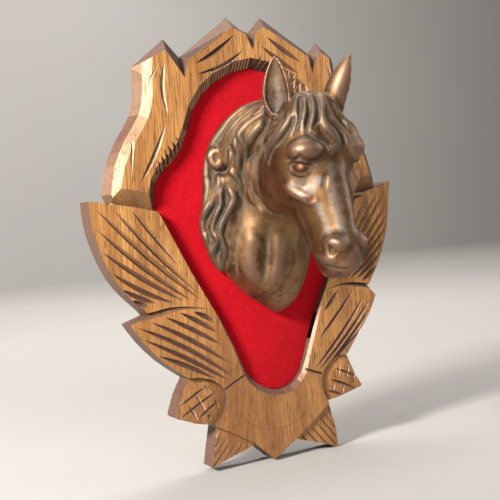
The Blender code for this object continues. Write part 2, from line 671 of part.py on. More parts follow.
def mane(shape):
    """The mane on the near side, its rolled curl and the forelock."""
    # Each lock runs through (x, out, z, radius) points
    locks = [
        # Crest, from behind the near ear round the neck's edge
        [(-8, 60, 74, 7), (-18, 33, 68, 8), (-31, 13, 57, 8.5), (-41, 4, 41, 7.5), (-47, -2, 20, 6.5),
         (-50, -4, -2, 5)],
        [(-16, 58, 66, 6), (-29, 37, 56, 7), (-39, 21, 44, 6), (-43, 13, 31, 3)],
        [(-19, 55, 57, 5.5), (-30, 44, 49, 6), (-37, 34, 37, 5.5), (-38, 27, 22, 5), (-33, 25, 8, 3)],
        # Wavy ends down the neck's edge
        [(-48, 3, 16, 5), (-55, 1, -6, 5.5), (-55, -1, -24, 5), (-57, -1, -42, 5), (-49, -3, -57, 4),
         (-46, -4, -68, 2)],
        [(-43, 13, 16, 4.5), (-51, 10, -3, 5), (-50, 7, -20, 4.5), (-52, 5, -39, 4.5), (-44, 2, -54, 4),
         (-43, 0, -68, 2)],
        [(-37, 21, 14, 4.5), (-43, 18, -4, 5), (-44, 15, -21, 4.5), (-47, 11, -39, 4), (-39, 7, -58, 2)],
        [(-33, 27, 10, 4), (-36, 24, -4, 4.5), (-38, 20, -16, 4), (-45, 15, -28, 2.4)],
    ]
    for route in locks:
        add_strand(shape, route)
    # Rolled curl: a short fat ring that faces the near side
    quarter = math.pi / 4
    add_strand(shape, [(-45.0 + 3.5 * math.cos(k * quarter), 7.0 + 5.0 * math.cos(k * quarter),
                        31.0 + 9.0 * math.sin(k * quarter), 3.4) for k in range(9)])
    forelock = [
        [(-2, 94, 83, 4), (-6, 106, 66, 4), (-5, 113, 51, 3.4), (-8, 117, 38, 1.6)],
        [(3, 93, 83, 4), (6, 107, 66, 4), (4, 115, 50, 3.6), (3, 119, 34, 1.8)],
        [(9, 91, 81, 4), (13, 103, 65, 4), (16, 110, 50, 3.4), (10, 116, 37, 1.8)],
        [(-10, 88, 79, 4), (-18, 97, 64, 4), (-24, 99, 50, 3.4), (-29, 93, 36, 2.0)],
        [(-8, 92, 79, 3), (-14, 105, 61, 3), (-16, 110, 50, 2.6), (-20, 108, 40, 1.4)],
    ]
    for route in forelock:
        add_strand(shape, route, True)


def fuse(body, voxel, iterations):
    """Let overlapping masses run together as in one casting, and soften them."""
    one = body.modifiers.new("one casting", "REMESH")
    one.mode = "VOXEL"
    one.voxel_size = voxel * MM
    soften = body.modifiers.new("soften", "SMOOTH")
    soften.factor = 0.5
    soften.iterations = iterations


def seen_mesh(body):
    seen = body.evaluated_get(bpy.context.evaluated_depsgraph_get())
    return bpy.data.meshes.new_from_object(seen)


def horse_head(parts, tools, bronze):
    masses = bmesh.new()
    skull(masses)
    neck(masses)
    face_masses(masses)
    rough = object_from_bmesh("rough_head", masses, parts)
    fuse(rough, MASS_VOXEL, 6)
    shape = bmesh.new()
    shape.from_mesh(seen_mesh(rough))
    bpy.data.objects.remove(rough)
    eyes(shape)
    mane(shape)
    for base, tip, facing, depth in EARS.values():
        add_loft(shape, ear_sections(base, tip, facing, EAR_WIDTH, depth, 0.0))
    head = object_from_bmesh("horse_head", shape, parts)
    head.data.materials.append(bronze)
    fuse(head, HEAD_VOXEL, 2)
    thin = head.modifiers.new("thin", "DECIMATE")
    dense = sum(len(face.vertices) - 2 for face in seen_mesh(head).polygons)
    thin.ratio = HEAD_TRIANGLES / dense
    # The back of the head is flat and stops just short of the felt
    bpy.ops.mesh.primitive_cube_add(size=1.0)
    wall_side = cutter_of(bpy.context.object)
    wall_side.name = "back_of_head"
    wall_side.scale = Vector(BACK_BLOCK) * MM
    wall_side.location = (0.0, (FELT_FACE_DEPTH - GAP - BOARD_THICKNESS + BACK_BLOCK[1] / 2) * MM, 0.0)
    cutters = [wall_side]
    for name, (base, tip, facing, depth) in EARS.items():
        hollow = ear_sections(base, tip, facing, EAR_WIDTH - EAR_WALL, depth, depth * 0.8)[1:-2]
        cutters.append(cutter_of(loft("%s_ear_hollow" % name, hollow, tools)))
    for side, name in ((-1.0, "near"), (1.0, "far")):
        hole = bmesh.new()
        add_ball(hole, (18.0, 122.5, -56.5), (NOSTRIL_RADIUS, NOSTRIL_RADIUS, NOSTRIL_RADIUS), side)
        cutters.append(cutter_of(object_from_bmesh("%s_nostril" % name, hole, tools)))
    subtract(head, gathered("head_cutters", cutters, tools), "back, ears and nostrils")
    return head


def build():
    clear_scene()
    parts = new_collection("horse_head_wall_plaque")
    tools = new_collection("cutters")
    wood = material("carved_wood", (0.42, 0.22, 0.085), 0.55, 0.0)
    felt = material("red_felt", (0.55, 0.01, 0.015), 0.95, 0.0)
    bronze = material("cast_bronze", (0.23, 0.13, 0.075), 0.38, 1.0)
    horse_head(parts, tools, bronze)
    felt_lining(parts, felt)
    carved_plaque(parts, tools, wood)


build()
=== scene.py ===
# %% [markdown]
# # A carved wall plaque with a cast horse head
# The plaque is a board of hardwood, carved with petals, wings, leaves, cones and a shield. Its middle is
# cut down and lined with red felt, and a hollow bronze casting of a horse's head stands on the felt.
# The solids of the three pieces are loaded first, because every piece below keeps their size and place.

# %% Load the frame
import math

import bmesh
import bpy
import numpy as np
from mathutils import Matrix, Vector
from mathutils.bvhtree import BVHTree


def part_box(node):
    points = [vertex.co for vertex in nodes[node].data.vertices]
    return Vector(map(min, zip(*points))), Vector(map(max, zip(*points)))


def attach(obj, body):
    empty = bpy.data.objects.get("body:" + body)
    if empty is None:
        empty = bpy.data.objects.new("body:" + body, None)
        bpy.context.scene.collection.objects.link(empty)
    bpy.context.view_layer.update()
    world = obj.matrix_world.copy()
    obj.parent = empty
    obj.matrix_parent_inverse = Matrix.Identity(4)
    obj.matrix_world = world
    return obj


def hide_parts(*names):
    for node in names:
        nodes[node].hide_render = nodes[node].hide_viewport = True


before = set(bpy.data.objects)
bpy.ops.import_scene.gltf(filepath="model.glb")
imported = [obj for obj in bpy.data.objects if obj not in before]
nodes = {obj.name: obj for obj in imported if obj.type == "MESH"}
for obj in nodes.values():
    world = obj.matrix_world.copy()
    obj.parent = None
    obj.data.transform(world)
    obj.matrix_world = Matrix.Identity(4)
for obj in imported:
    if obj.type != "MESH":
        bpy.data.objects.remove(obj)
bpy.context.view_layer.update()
MM = 0.001
BOARD_THICKNESS = 22.0
print("nodes:", sorted(nodes))

# %% [markdown]
# The camera comes before the pieces, because hair and wrinkles are later placed by where they show in the
# picture. A camera can be aimed with a Track To constraint, or its axes can be worked out. The picture is
# tilted a little, so the axes are worked out here from a heading, an elevation and a roll.

# %% The camera
EYE = Vector((-0.4553, -0.8343, -0.0165))
HEADING, ELEVATION, ROLL = math.radians(-28.56), math.radians(2.34), math.radians(-4.10)
LENS, SENSOR, PICTURE = 72.0, 36.0, 500

backward = Vector((math.sin(HEADING) * math.cos(ELEVATION), -math.cos(HEADING) * math.cos(ELEVATION),
                   math.sin(ELEVATION)))
level_right = (-backward).cross(Vector((0, 0, 1))).normalized()
level_up = level_right.cross(-backward)
right = level_right * math.cos(ROLL) + level_up * math.sin(ROLL)
up = level_up * math.cos(ROLL) - level_right * math.sin(ROLL)

camera = bpy.data.objects.new("camera", bpy.data.cameras.new("camera"))
bpy.context.scene.collection.objects.link(camera)
camera.data.lens = LENS
camera.data.sensor_width = SENSOR
camera.matrix_world = Matrix.Translation(EYE) @ Matrix((right, up, backward)).transposed().to_4x4()
bpy.context.scene.camera = camera
bpy.context.scene.view_settings.view_transform = "Standard"


def sight_line(across, down):
    """The way from the camera through a place in the picture, counted from its top left corner."""
    pixels = LENS / SENSOR * PICTURE
    return (right * (across - PICTURE / 2) - up * (down - PICTURE / 2) - backward * pixels).normalized()


print("camera at", tuple(round(v, 3) for v in EYE))

# %% [markdown]
# The plaque stands on a plain pale sheet of studio paper. The paper could be a flat floor with a wall, but
# a sheet that curves up behind leaves no line. It is a plane whose far edge is extruded upwards, with the
# corner rounded by an edge bevel.

# %% Studio paper
FLOOR, BEHIND = -0.2542, 2.0
PAPER_SIZE, PAPER_MIDDLE, PAPER_RISE, PAPER_CURVE = (9.0, 5.0, 1.0), 0.4, 4.0, 1.4


def select_edges(chosen):
    """Select the paper's edges whose two ends are both chosen."""
    sheet = bmesh.from_edit_mesh(paper.data)
    for edge in sheet.edges:
        edge.select = all(chosen(v.co) for v in edge.verts)
    bmesh.update_edit_mesh(paper.data)


bpy.ops.object.select_all(action="DESELECT")
bpy.ops.mesh.primitive_plane_add(size=1.0, location=(0.0, PAPER_MIDDLE, FLOOR))
paper = bpy.context.object
paper.name = "studio_paper"
paper.scale = PAPER_SIZE
bpy.ops.object.transform_apply(location=True, rotation=True, scale=True)
bpy.ops.object.mode_set(mode="EDIT")
bpy.ops.mesh.select_all(action="DESELECT")
select_edges(lambda spot: spot.y > BEHIND)
bpy.ops.mesh.extrude_region_move(TRANSFORM_OT_translate={"value": (0.0, 0.0, PAPER_RISE)})
select_edges(lambda spot: spot.y > BEHIND and spot.z < 0.0)
bpy.ops.mesh.bevel(offset=PAPER_CURVE, segments=24, affect="EDGES")
bpy.ops.object.mode_set(mode="OBJECT")
bpy.ops.object.shade_smooth()
print("paper faces:", len(paper.data.polygons))

# %% [markdown]
# Shader maths is easier to read as sums than as boxes and wires. A small class holds one socket of a node
# tree, and its operators add the Math nodes. A second class holds a material and adds the other nodes.


# %% Shader helpers
class Signal:
    """One output of a node tree, which can be added, multiplied and so on."""

    def __init__(self, tree, socket):
        self.tree = tree
        self.socket = socket

    def math(self, operation, *others):
        return self.tree.node("ShaderNodeMath", {"operation": operation}, [self, *others])

    def __add__(self, other):
        return self.math("ADD", other)

    def __sub__(self, other):
        return self.math("SUBTRACT", other)

    def __rsub__(self, other):
        return self.tree.node("ShaderNodeMath", {"operation": "SUBTRACT"}, [other, self])

    def __mul__(self, other):
        return self.math("MULTIPLY", other)

    def __pow__(self, other):
        return self.math("POWER", other)

    __radd__ = __add__

    def ramp(self, low, high):
        """0 below low, 1 above high, smooth in between; low may be the larger one."""
        return self.tree.node("ShaderNodeMapRange", {"interpolation_type": "SMOOTHSTEP"},
                              [self, low, high, 0.0, 1.0])


class Finish:
    """A material in the making."""

    def __init__(self, name):
        self.material = bpy.data.materials.new(name)
        self.material.use_nodes = True
        self.nodes = self.material.node_tree.nodes
        self.links = self.material.node_tree.links
        self.shader = self.nodes["Principled BSDF"]

    def node(self, kind, settings=None, sockets=(), output=0):
        """Add a node: its settings first, then the values or links of its sockets."""
        made = self.nodes.new(kind)
        for setting, value in (settings or {}).items():
            setattr(made, setting, value)
        pairs = sockets.items() if isinstance(sockets, dict) else enumerate(sockets)
        for key, value in pairs:
            if isinstance(value, Signal):
                self.links.new(value.socket, made.inputs[key])
            elif value is not None:
                made.inputs[key].default_value = value
        return Signal(self, made.outputs[output])

    def place(self, output="Object"):
        made = self.nodes.new("ShaderNodeTexCoord")
        return Signal(self, made.outputs[output])

    def parts(self, vector):
        made = self.nodes.new("ShaderNodeSeparateXYZ")
        self.links.new(vector.socket, made.inputs[0])
        return [Signal(self, output) for output in made.outputs]

    def stretched(self, vector, scale):
        return self.node("ShaderNodeMapping", {}, {"Vector": vector, "Scale": scale})

    def noise(self, vector, scale, detail=2.0, roughness=0.5):
        return self.node("ShaderNodeTexNoise", {},
                         {"Vector": vector, "Scale": scale, "Detail": detail, "Roughness": roughness})

    def blend(self, factor, first, second):
        made = self.nodes.new("ShaderNodeMix")
        made.data_type = "RGBA"
        for socket, value in zip((made.inputs[0], made.inputs[6], made.inputs[7]), (factor, first, second)):
            if isinstance(value, Signal):
                self.links.new(value.socket, socket)
            elif isinstance(value, tuple):
                socket.default_value = (*value, 1.0)
            else:
                socket.default_value = value
        return Signal(self, made.outputs[2])

    def attribute(self, name):
        return self.node("ShaderNodeAttribute", {"attribute_name": name}, output=2)

    def feed(self, **signals):
        for name, value in signals.items():
            self.links.new(value.socket, self.shader.inputs[name.replace("_", " ")])

    def fix(self, **values):
        for name, value in values.items():
            self.shader.inputs[name.replace("_", " ")].default_value = value

    def bump(self, height, distance, strength):
        normal = self.node("ShaderNodeBump", {}, {"Strength": strength, "Distance": distance,
                                                  "Height": height})
        self.links.new(normal.socket, self.shader.inputs["Normal"])


print("shader helpers ready")

# %% [markdown]
# Hardwood shows three things at once: broad warm streaks along the grain, fine fibres, and short dark
# pores. All three are noise that is stretched along the grain, which runs up the board. Where the knife
# has cut across the grain the wood drinks more stain, so faces that look up or down turn dark brown, and
# faces that look sideways stay pale. The sides of a cut that look away from the main light are painted
# darker still: that is painted shade, fixed to the wood whatever the lamps do. The sawn edge has fine saw
# lines, and the shield a faint arc of painted shade where the edge of a shallow scoop would throw it. The
# rim's close chips are rows of colour and bump between the chips that are cut in the solid, on the faces
# marked rim; those faces are painted dark brown over the grain as painted shade, and the chips pale. The
# faces marked raked are the fine rows on one petal, which the next cells cut; their flanks are painted
# lighter or darker by which way they face the main light, as painted light and painted shade.

# %% Wood
TO_KEY = (-0.80, -0.39, 0.45)
ARC_ACROSS, ARC_RISE, ARC_RADIUS = 0.0041, -0.1712, 0.0527
CHIP_ROWS = (1750.0, 700.0, 900.0)
BELOW_FACE = (-0.0219, -0.0207)

wood = Finish("carved_wood")
here = wood.place()
facing = wood.parts(wood.place("Normal"))
spot = wood.parts(here)
wander = wood.noise(wood.stretched(here, (6.0, 6.0, 3.0)), 1.0, 2.0)
grain_line = wood.node("ShaderNodeVectorMath", {"operation": "ADD"},
                       [here, wood.node("ShaderNodeCombineXYZ", {}, [wander * 0.03, None, None])])
streaks = wood.noise(wood.stretched(grain_line, (70.0, 60.0, 3.0)), 1.0, 3.0, 0.6)
fibres = wood.noise(wood.stretched(grain_line, (900.0, 900.0, 28.0)), 1.0, 2.0, 0.6)
pores = wood.noise(wood.stretched(grain_line, (1100.0, 1100.0, 90.0)), 1.0, 1.0).ramp(0.6, 0.7)
clouds = wood.noise(here, 14.0, 2.0)
face = wood.blend(streaks.ramp(0.3, 0.7), (0.35, 0.145, 0.036), (0.66, 0.32, 0.092))
face = wood.blend(clouds.ramp(0.4, 0.7) * 0.3, face, (0.40, 0.165, 0.04))
low_down = spot[2].ramp(-0.09, -0.19)
face = wood.blend(low_down * 0.5, face, (0.22, 0.092, 0.036))
face = wood.blend(fibres.ramp(0.44, 0.66) * 0.75, face, (0.19, 0.072, 0.021))
across = facing[2].math("ABSOLUTE").ramp(0.22, 0.75)
sideways = facing[0].math("ABSOLUTE").ramp(0.45, 0.7) * (1.0 - across)
end_grain = wood.blend(fibres.ramp(0.3, 0.7), (0.075, 0.032, 0.022), (0.17, 0.085, 0.06))
pale_cut = wood.blend(fibres.ramp(0.3, 0.75), (0.62, 0.40, 0.25), (0.46, 0.26, 0.14))
colour = wood.blend(sideways, face, pale_cut)
colour = wood.blend(across, colour, end_grain)
lean = facing[1].math("ABSOLUTE").ramp(0.93, 0.78)
below = spot[1].ramp(*BELOW_FACE)
cut = lean * below
# Painted shade: cut faces that turn away from the key light are coloured nearly black brown, whatever light
# falls on them.
lit_side = facing[0] * TO_KEY[0] + facing[1] * TO_KEY[1] + facing[2] * TO_KEY[2]
colour = wood.blend(lit_side.ramp(0.28, 0.02) * cut * 0.88, colour, (0.05, 0.016, 0.007))
wall = facing[1].math("ABSOLUTE").ramp(0.35, 0.12)
saw_lines = wood.noise(wood.stretched(here, (60.0, 1500.0, 260.0)), 1.0, 2.0, 0.6)
wall_colour = wood.blend(saw_lines.ramp(0.35, 0.65), (0.07, 0.033, 0.024), (0.17, 0.085, 0.058))
colour = wood.blend(wall * 0.95, colour, wall_colour)
# Painted shade: a faint dark curved line on the shield, where the edge of a shallow scoop would throw a
# shadow.
from_middle = ((spot[0] - ARC_ACROSS) ** 2.0 + (spot[2] - ARC_RISE) ** 2.0) ** 0.5
arc = (from_middle - ARC_RADIUS).math("ABSOLUTE").ramp(0.0018, 0.0002) * spot[2].ramp(-0.207, -0.214)
colour = wood.blend(arc * 0.4, colour, (0.16, 0.065, 0.025))
colour = wood.blend(pores * 0.75, colour, (0.075, 0.028, 0.012))
rim = wood.attribute("rim")
chip_row = (spot[0] * CHIP_ROWS[0] + spot[2] * CHIP_ROWS[2] + spot[1] * CHIP_ROWS[1]).math("SINE")
chip = (chip_row + (streaks - 0.5) * 1.5).ramp(0.25, 0.75) * rim
# Painted shade: the chipped rim bevel is coloured dark brown over the grain, and the chip rows pale.
rim_shade_colour = wood.blend(fibres.ramp(0.3, 0.7), (0.075, 0.03, 0.014), (0.15, 0.07, 0.03))
colour = wood.blend(rim * 0.8, colour, rim_shade_colour)
colour = wood.blend(chip * 0.9, colour, (0.62, 0.42, 0.26))
raked = wood.attribute("raked")
# Painted shade and light: all raked faces are coloured dark, and the flanks that turn towards the key light
# lighter brown.
colour = wood.blend(raked.ramp(0.1, 0.4) * 0.9, colour, (0.05, 0.024, 0.017))
colour = wood.blend(raked.ramp(0.6, 0.9) * (0.6 + fibres * 0.4), colour, (0.20, 0.115, 0.075))
wood.feed(Base_Color=colour, Roughness=0.42 + fibres * 0.25)
wood.bump(fibres * 0.6 + streaks * 0.3 - pores * 0.5 + chip * 2.0, 0.0003, 0.6)
wood.fix(IOR=1.5)
print("wood nodes:", len(wood.nodes))

# %% [markdown]
# Wool felt is a mat of short fibres. It has no weave and no shine, only a soft speckle where fibres catch
# the light, and a faint glow at grazing angles that the sheen lobe gives.

# %% Felt
felt = Finish("red_felt")
here = felt.place()
fuzz = felt.noise(here, 1500.0, 3.0, 0.7)
tufts = felt.noise(here, 420.0, 3.0, 0.65)
patches = felt.noise(here, 32.0, 2.0)
colour = felt.blend(fuzz.ramp(0.3, 0.72), (0.30, 0.001, 0.005), (0.66, 0.006, 0.016))
colour = felt.blend(tufts.ramp(0.35, 0.7) * 0.5, colour, (0.58, 0.003, 0.012))
colour = felt.blend(patches.ramp(0.35, 0.7) * 0.3, colour, (0.38, 0.001, 0.006))
# Painted highlights: small bright spots of colour where fibres would catch the light.
glint_specks = felt.noise(here, 900.0, 1.0).ramp(0.74, 0.78)
colour = felt.blend(glint_specks * 0.6, colour, (0.8, 0.12, 0.12))
felt.feed(Base_Color=colour)
felt.bump(fuzz * 0.6 + tufts, 0.0005, 0.6)
felt.fix(Roughness=1.0, Sheen_Weight=0.06, Sheen_Roughness=0.5, Specular_IOR_Level=0.1)
print("felt nodes:", len(felt.nodes))

# %% [markdown]
# The bronze has darkened to brown. Hands and dusting have rubbed the raised places to a copper shine, and
# green-grey verdigris has stayed in the hollows. The bridge of the nose and a few other places have worn to
# a silver grey, and the lower neck to a dull gold. Along those lines the silver grey is also a painted
# highlight, where the planes face the light. Where a place stands proud or lies deep is measured on
# the finished mesh and kept as a number on each point, called relief. Two more numbers, called hair and
# silver, say where the hair and the silver-grey places with their painted highlight are. The material
# reads all three.

# %% Bronze
bronze = Finish("cast_bronze")
here = bronze.place()
relief = bronze.attribute("relief")
hairy = bronze.attribute("hair")
blotch = bronze.noise(here, 38.0, 4.0, 0.6)
mottle = bronze.noise(here, 170.0, 4.0, 0.65)
grit = bronze.noise(here, 900.0, 2.0, 0.6)
colour = bronze.blend(blotch.ramp(0.35, 0.65), (0.118, 0.060, 0.034), (0.20, 0.106, 0.043))
colour = bronze.blend(mottle.ramp(0.5, 0.72) * 0.5, colour, (0.07, 0.045, 0.032))
# Silver grey: speckled wear over the metal, and along the silver lines also a painted highlight on planes
# that face the light.
silver = bronze.attribute("silver")
silver_and_highlight = (blotch * 0.6 + (grit - 0.5) * 0.7 + (mottle - 0.5) * 0.8 + silver * 0.45).ramp(0.38, 0.95)
colour = bronze.blend(silver_and_highlight * 0.75, colour, (0.30, 0.265, 0.225))
spot = bronze.parts(here)
golden = spot[2].ramp(0.03, -0.10) * spot[1].ramp(-0.115, -0.06) * (1.0 - hairy)
colour = bronze.blend(golden * (blotch + mottle - 0.4).ramp(0.3, 0.9), colour, (0.36, 0.225, 0.11))
proud = (relief + (mottle - 0.5) * 0.6).ramp(0.3, 1.0)
rubbed = bronze.blend(hairy, (0.34, 0.205, 0.145), (0.22, 0.178, 0.132))
colour = bronze.blend(proud * 0.6, colour, rubbed)
deep = ((mottle - 0.5) * 0.9 + (grit - 0.5) * 0.5 - relief * 0.8 + hairy * 0.3).ramp(0.1, 0.8)
verdigris = bronze.blend(grit.ramp(0.35, 0.65), (0.035, 0.034, 0.026), (0.16, 0.15, 0.115))
colour = bronze.blend(deep * (0.35 + hairy * 0.4), colour, verdigris)
bronze.feed(Base_Color=colour, Roughness=0.43 + mottle * 0.2 + deep * 0.22 + hairy * 0.06,
            Metallic=1.0 - deep * 0.5)
bronze.bump(mottle * 0.6 + grit * (0.4 + deep), 0.0005, 0.4)
print("bronze nodes:", len(bronze.nodes))

# %% [markdown]
# The fine board and the felt both start as a copy of their solid, so that every edge stays where it is. A
# loaded solid is loose triangles, so the copy's doubled points are merged and its flat faces joined again.


# %% Copies of the solids
MERGED, LEVEL = 0.00001, math.radians(0.6)


def only(made):
    """Make one object the selected and active one."""
    bpy.ops.object.select_all(action="DESELECT")
    made.select_set(True)
    bpy.context.view_layer.objects.active = made


def copy_of(node, name, material):
    """A merged copy of a solid with joined-up flat faces, as a piece of its own."""
    made = bpy.data.objects.new(name, nodes[node].data.copy())
    bpy.context.scene.collection.objects.link(made)
    made.data.materials.clear()
    made.data.materials.append(material)
    only(made)
    bpy.ops.object.mode_set(mode="EDIT")
    bpy.ops.mesh.select_all(action="SELECT")
    bpy.ops.mesh.remove_doubles(threshold=MERGED)
    bpy.ops.mesh.customdata_custom_splitnormals_clear()
    # Leaving and entering Edit Mode here changes which flat faces are joined next.
    bpy.ops.object.mode_set(mode="OBJECT")
    bpy.ops.object.mode_set(mode="EDIT")
    bpy.ops.mesh.select_all(action="SELECT")
    bpy.ops.mesh.dissolve_limited(angle_limit=LEVEL)
    bpy.ops.object.mode_set(mode="OBJECT")
    return made


def rounded_edges(made, width, segments, angle):
    """Round the edges that turn more than an angle."""
    edge = made.modifiers.new("rounded", "BEVEL")
    edge.width = width
    edge.segments = segments
    edge.limit_method = "ANGLE"
    edge.angle_limit = math.radians(angle)
    bpy.ops.object.modifier_apply(modifier="rounded")


board = copy_of("carved_plaque", "fine_carved_board", wood.material)
print("board faces:", len(board.data.polygons))

# %% [markdown]
# The petal at the upper left has fine rows raked across its chamfer. They could be drawn as bump, but they
# show on the edge of the petal, so they are cut: a row of three-sided bars is taken out with a Boolean. The
# chamfer is found by its direction and place, so the bars lie in its plane. There is a known fault: since
# this cut, one wall face of the recess is missing at the lower right, and shows as a black patch.

# %% Raked rows
slope = max((face for face in board.data.polygons
             if face.normal.z > 0.35 and face.normal.x < -0.1 and -0.95 < face.normal.y < -0.2
             and -60.0 < face.center.x / MM < -20.0 and face.center.z > 118.0 * MM),
            key=lambda face: face.area)
RAKES, RAKE_DEPTH, RAKE_LEAN = 14, 0.75 * MM, 0.5
RAKE_ABOVE, RAKE_HALF, RAKE_PAST = 0.25 * MM, 0.47, 2.0 * MM
outward = slope.normal.copy()
along = Vector((outward.z, 0.0, -outward.x)).normalized()
across = outward.cross(along)
across = across if across.y > 0.0 else -across
middle = slope.center.copy()
corners = [board.data.vertices[v].co - middle for v in slope.vertices]
start, stop = (pick(corner.dot(along) for corner in corners) for pick in (min, max))
front, rear = (pick(corner.dot(across) for corner in corners) for pick in (min, max))
pitch = (stop - start) / RAKES
tool = bmesh.new()
for k in range(RAKES):
    bands = []
    for step in (front - RAKE_PAST, rear + RAKE_PAST):
        core = middle + across * step + along * (start + pitch * (k + 0.5) - step * RAKE_LEAN)
        top, half = core + outward * RAKE_ABOVE, along * pitch * RAKE_HALF
        corners = (core - outward * RAKE_DEPTH, top + half, top - half)
        bands.append([tool.verts.new(corner) for corner in corners])
    for i in range(3):
        tool.faces.new((bands[0][i], bands[0][i - 2], bands[1][i - 2], bands[1][i]))
    tool.faces.new(bands[0])
    tool.faces.new(bands[1][::-1])
bmesh.ops.recalc_face_normals(tool, faces=tool.faces)
rake_mesh = bpy.data.meshes.new("rake")
tool.to_mesh(rake_mesh)
tool.free()
rake = bpy.data.objects.new("rake", rake_mesh)
bpy.context.scene.collection.objects.link(rake)
scored = board.modifiers.new("scored", "BOOLEAN")
scored.object = rake
scored.solver = "EXACT"
bpy.ops.object.modifier_apply(modifier="scored")
bpy.data.objects.remove(rake)
print("raked chamfer, mm:", round((stop - start) / MM, 1), "by", round((rear - front) / MM, 1))

# %% [markdown]
# Worked wood has no razor edges: a narrow bevel catches the light along each cut. Each face then gets two
# marks for the material, one for the chipped rim and one for the raked rows. Both carry painted shade: the
# rim mark darkens the chipped bevel, and the raked mark says which flank of a row faces the key light, to
# be painted lighter.

# %% Finished board
CHIPPED = [(-60.0, -2.0, 85.0, math.inf), (-math.inf, -70.0, 12.0, 58.0), (30.0, math.inf, 70.0, math.inf)]
RIM_REACH = 13.5 * MM

rounded_edges(board, 0.25 * MM, 1, 28)
bpy.ops.object.shade_flat()
cloth = nodes["felt_lining"].data
felt_tree = BVHTree.FromPolygons([v.co for v in cloth.vertices], [p.vertices for p in cloth.polygons])
rim_marks, rake_shading_marks = [], []
for face in board.data.polygons:
    x, _, z = face.center / MM
    leans = 0.3 < -face.normal.y < 0.93
    chipped = any(left < x < right_end and low < z < high for left, right_end, low, high in CHIPPED)
    beside = felt_tree.find_nearest(face.center)[3] < RIM_REACH
    rim_marks.append(float(leans and chipped and beside))
    offset = face.center - middle
    scored_here = (abs(offset.dot(outward)) < RAKE_DEPTH and abs(face.normal.dot(outward)) > 0.5
                   and start - MM < offset.dot(along) < stop + MM
                   and front - MM < offset.dot(across) < rear + MM)
    # A raked face that turns towards the key light gets 1.0 and is painted lighter; the others get 0.5 and
    # are painted darker.
    rake_shading_marks.append(float(scored_here) * (1.0 if face.normal.dot(along) < -0.1 else 0.5))
for name, marks in (("rim", rim_marks), ("raked", rake_shading_marks)):
    board.data.attributes.new(name, "FLOAT", "FACE").data.foreach_set("value", marks)
print("rim faces:", int(sum(rim_marks)), "raked faces:", sum(mark > 0.0 for mark in rake_shading_marks))
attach(board, "root")
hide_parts("carved_plaque")
print("board triangles:", sum(len(p.vertices) - 2 for p in board.data.polygons))

# %% [markdown]
# The lining is one piece of felt, cut to the recess and glued flat. It could be simulated as cloth, but a
# glued sheet can't fall into folds, so it is a copy of the solid with its cut edge rounded over.

# %% Felt lining
lining = copy_of("felt_lining", "felt_cloth", felt.material)
rounded_edges(lining, 0.5 * MM, 3, 60)
bpy.ops.object.shade_smooth_by_angle(angle=math.radians(40))
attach(lining, "root")
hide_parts("felt_lining")

# %% [markdown]
# The head is sculpted in three steps, as in clay: first the big masses, run together into one skin; then
# the ears, the eyeballs and a curl; then strokes that raise or press the skin along a line. Sculpting by
# hand can't be repeated by a script, so each stroke is a line with a width and a height. Places are given
# in the head's own axes, because it is turned a little to one side.


# %% Places on the head
HEAD_TURN = math.radians(5.0)
PIVOT_ACROSS, PIVOT_OUT = 3.0, 40.0


def from_face(x, out, z):
    """A point, by how far it stands out from the board's face, in millimetres."""
    return Vector((x, -(out + BOARD_THICKNESS), z)) * MM


def on_head(across, out, rise):
    """A point in the head's own axes, which are turned a little about an upright line."""
    ahead = out - PIVOT_OUT
    cosine, sine = math.cos(HEAD_TURN), math.sin(HEAD_TURN)
    return from_face(PIVOT_ACROSS + across * cosine + ahead * sine,
                     PIVOT_OUT + ahead * cosine - across * sine, rise)


MIDDLE = on_head(0.0, 0.0, 0.0)
SIDEWAYS = (on_head(1.0, 0.0, 0.0) - MIDDLE).normalized()


def mirrored(spot):
    """The same place on the head's other side."""
    return spot - SIDEWAYS * 2.0 * (spot - MIDDLE).dot(SIDEWAYS)


def smooth_run(points, steps):
    """Points on a smooth curve through the given ones."""
    ends = [points[0]] + list(points) + [points[-1]]
    run = []
    for i in range(1, len(ends) - 2):
        before, start, stop, after = (Vector(ends[i + k]) for k in (-1, 0, 1, 2))
        for j in range(steps):
            t = j / steps
            run.append(0.5 * (2 * start + (stop - before) * t
                              + (2 * before - 5 * start + 4 * stop - after) * t * t
                              + (3 * start - before - 3 * stop + after) * t ** 3))
    run.append(Vector(points[-1]))
    return run


print("middle of the head:", tuple(round(v, 4) for v in MIDDLE))

# %% [markdown]
# Three shapes of clay are enough: eggs, tapering rolls, and bodies through a row of sections. A voxel
# remesh runs them together into one skin. Metaballs could do that too, but they can't keep a thin ear.


# %% Clay: balls, rolls and sections
def ball(across, out, rise, radii, sides=(-1, 1)):
    """An egg of clay on one side of the head or on both."""
    made = []
    for side in sides:
        bpy.ops.mesh.primitive_uv_sphere_add(segments=24, ring_count=14, radius=MM, scale=radii,
                                             location=on_head(across * side, out, rise),
                                             rotation=(0.0, 0.0, HEAD_TURN))
        made.append(bpy.context.object)
    return made


def roll(route, own_axes=True, sides=(1,)):
    """A tapering roll of clay along (across, out, rise, radius) points."""
    made = []
    for side in sides:
        curve = bpy.data.curves.new("roll", "CURVE")
        curve.dimensions = "3D"
        curve.bevel_depth = MM
        curve.bevel_resolution = 4
        curve.use_fill_caps = True
        spots = smooth_run(route, 5)
        line = curve.splines.new("POLY")
        line.points.add(len(spots) - 1)
        for point, spot in zip(line.points, spots):
            place = (on_head(spot[0] * side, spot[1], spot[2]) if own_axes
                     else from_face(spot[0], spot[1], spot[2]))
            point.co = (*place, 1.0)
            point.radius = spot[3]
        holder = bpy.data.objects.new("roll", curve)
        bpy.context.scene.collection.objects.link(holder)
        only(holder)
        bpy.ops.object.convert(target="MESH")
        made.append(bpy.context.object)
    return made


